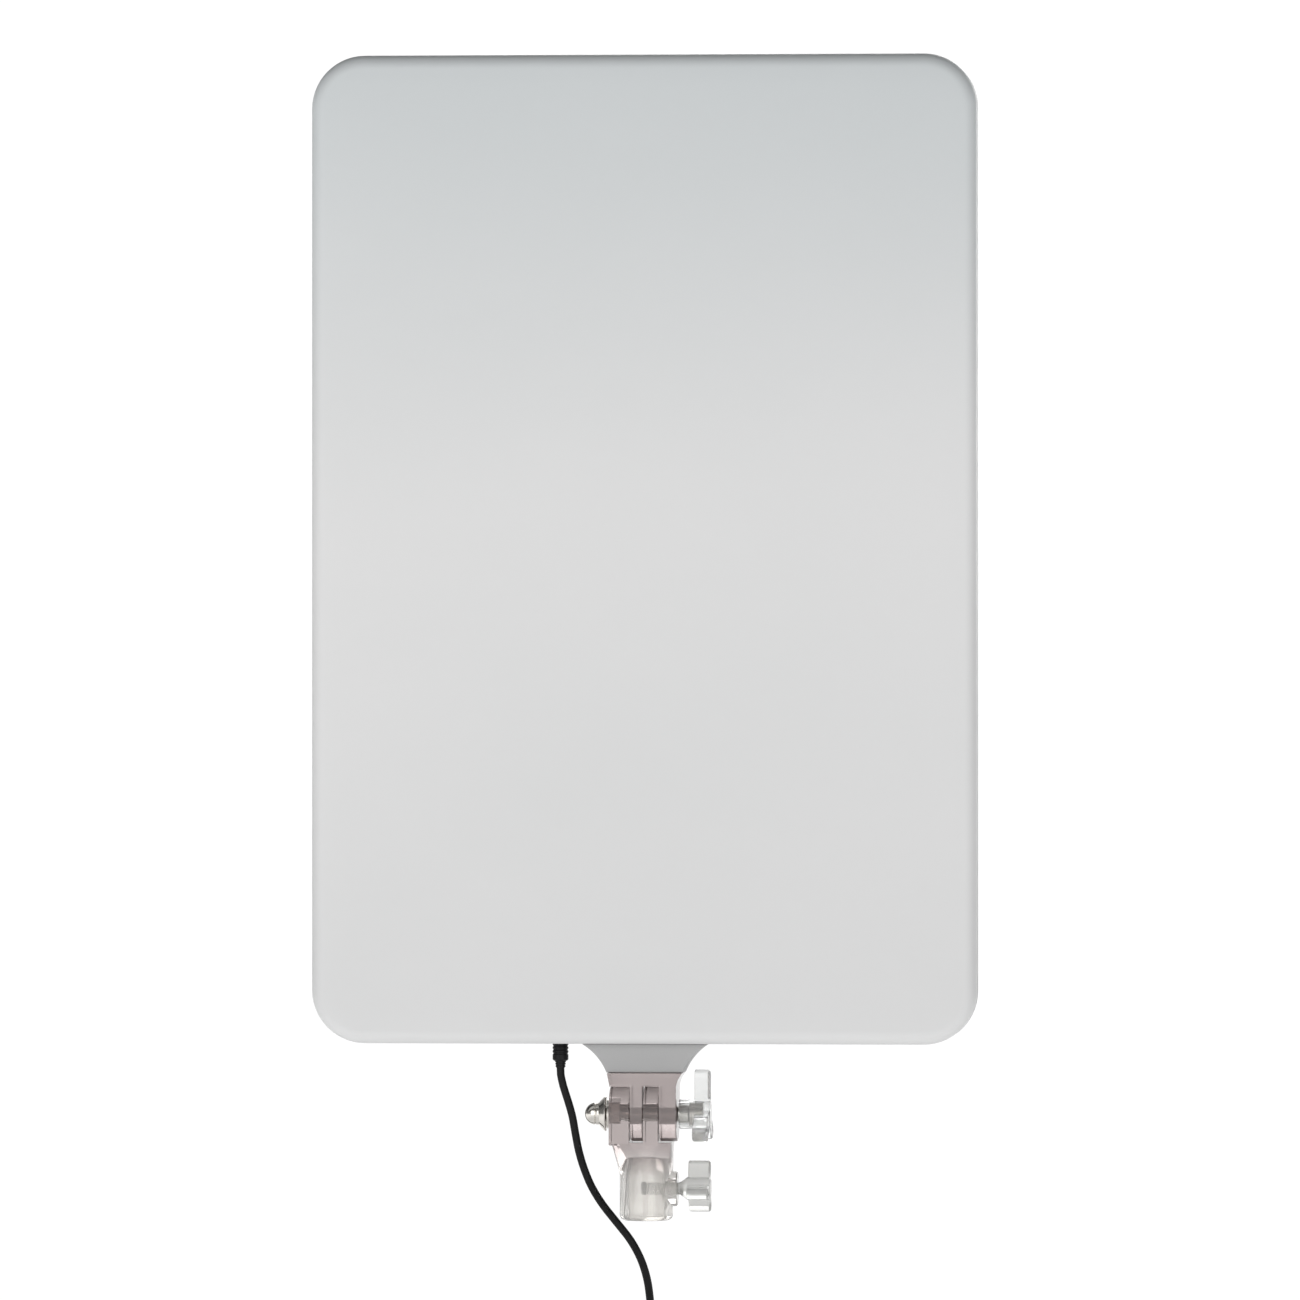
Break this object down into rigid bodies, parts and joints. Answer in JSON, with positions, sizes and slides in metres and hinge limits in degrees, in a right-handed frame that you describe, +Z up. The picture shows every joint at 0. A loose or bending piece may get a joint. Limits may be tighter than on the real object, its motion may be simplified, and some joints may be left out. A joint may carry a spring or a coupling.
{
  "type": "led panel light",
  "caption": "Soft portrait LED panel light on a tilting clear knuckle with a spigot socket, clamp screw, rear controls and plug-in power lead.",
  "frame": {"origin": "centre of the stand socket's mouth, where a light stand's spigot enters", "axes": "+Z up along the socket and the panel's long side, the light shines towards -Y, X along the tilt bolt with the knobs on +X"},
  "size_m": [0.3, 0.0853, 0.7142],
  "materials": {
    "opal_front": "milky light-diffusing plastic, fine satin skin",
    "white_shell": "moulded light grey plastic, fine spark-eroded texture",
    "grey_shell": "moulded grey plastic, fine texture",
    "clear_plastic": "clear moulded polycarbonate, faint warm tint",
    "bright_metal": "nickel-plated steel",
    "dark_plastic": "satin black plastic",
    "button_plastic": "grey moulded caps",
    "lens_plastic": "frosted clear",
    "reflector_white": "white reflecting sheet",
    "strip_board": "white solder mask on aluminium",
    "circuit_board": "green board with parts",
    "wire_jacket": "thin insulated wire",
    "cord_jacket": "soft black cable jacket",
    "adapter_plastic": "black moulded plastic, fine texture"
  },
  "bodies": {
    "bracket": {"stand_bracket": "clear_plastic", "tilt_bolt": "bright_metal", "nut_washer": "bright_metal", "acorn_nut": "bright_metal", "power_cord": "cord_jacket", "cord_coil": "cord_jacket", "coil_tie": "dark_plastic", "cord_tail": "cord_jacket", "adapter_relief": "adapter_plastic", "adapter_case": "adapter_plastic", "adapter_pin_1": "bright_metal", "adapter_pin_2": "bright_metal"},
    "panel": {"front_diffuser": "opal_front", "rear_cover": "white_shell", "reflector_tray": "reflector_white", "led_strip_1": "strip_board", "led_strip_2": "strip_board", "led_strip_3": "strip_board", "led_strip_4": "strip_board", "led_strip_5": "strip_board", "led_strip_6": "strip_board", "led_wire_plus": "wire_jacket", "led_wire_minus": "wire_jacket", "control_housing": "grey_shell", "control_board": "circuit_board", "control_bezel": "dark_plastic", "indicator_lens": "lens_plastic", "dc_jack": "dark_plastic", "dc_plug": "dark_plastic", "dc_plug_barrel": "bright_metal", "upper_knuckle": "clear_plastic", "cover_screw_1": "bright_metal", "cover_screw_2": "bright_metal", "cover_screw_3": "bright_metal", "cover_screw_4": "bright_metal", "cover_screw_5": "bright_metal", "cover_screw_6": "bright_metal", "housing_screw_1": "bright_metal", "housing_screw_2": "bright_metal", "housing_screw_3": "bright_metal", "housing_screw_4": "bright_metal", "knuckle_screw_1": "bright_metal", "knuckle_screw_2": "bright_metal"},
    "tilt_sleeve": {"spacer_sleeve": "bright_metal"},
    "tilt_knob": {"tilt_wing_knob": "clear_plastic", "knob_ferrule": "bright_metal"},
    "clamp_pad": {"clamp_pad": "button_plastic"},
    "clamp_screw": {"clamp_wing_screw": "clear_plastic"},
    "power_button": {"button_power": "button_plastic"},
    "dimmer_button": {"button_dimmer": "button_plastic"},
    "brighter_button": {"button_brighter": "button_plastic"},
    "colour_button": {"button_colour": "button_plastic"}
  },
  "joints": [
    {"name": "panel_tilt", "type": "hinge", "parent": "bracket", "child": "panel", "pos_m": [0, 0, 0.048], "axis": [1, 0, 0], "range_deg": [-90, 90], "deforming": ["power_cord"]},
    {"name": "tilt_knob_turn", "type": "hinge", "parent": "tilt_sleeve", "child": "tilt_knob", "pos_m": [0, 0, 0.048], "axis": [1, 0, 0], "range_deg": [0, 540]},
    {"name": "tilt_sleeve_slide", "type": "slide", "parent": "bracket", "child": "tilt_sleeve", "axis": [1, 0, 0], "range_m": [0, 0.0015]},
    {"name": "clamp_screw_turn", "type": "hinge", "parent": "clamp_pad", "child": "clamp_screw", "pos_m": [0, 0, 0.0144], "axis": [1, 0, 0], "range_deg": [0, 3780]},
    {"name": "clamp_pad_slide", "type": "slide", "parent": "bracket", "child": "clamp_pad", "axis": [1, 0, 0], "range_m": [0, 0.0106]},
    {"name": "power_press", "type": "slide", "parent": "panel", "child": "power_button", "axis": [0, -1, 0], "range_m": [0, 0.0007], "stiffness_N_per_m": 600, "springref_m": -0.001},
    {"name": "dimmer_press", "type": "slide", "parent": "panel", "child": "dimmer_button", "axis": [0, -1, 0], "range_m": [0, 0.0007], "stiffness_N_per_m": 600, "springref_m": -0.001},
    {"name": "brighter_press", "type": "slide", "parent": "panel", "child": "brighter_button", "axis": [0, -1, 0], "range_m": [0, 0.0007], "stiffness_N_per_m": 600, "springref_m": -0.001},
    {"name": "colour_press", "type": "slide", "parent": "panel", "child": "colour_button", "axis": [0, -1, 0], "range_m": [0, 0.0007], "stiffness_N_per_m": 600, "springref_m": -0.001}
  ],
  "couplings": [
    {"joint": "tilt_sleeve_slide", "follows": "tilt_knob_turn", "m_per_rad": 0.00015915},
    {"joint": "clamp_pad_slide", "follows": "clamp_screw_turn", "m_per_rad": 0.00015915}
  ]
}
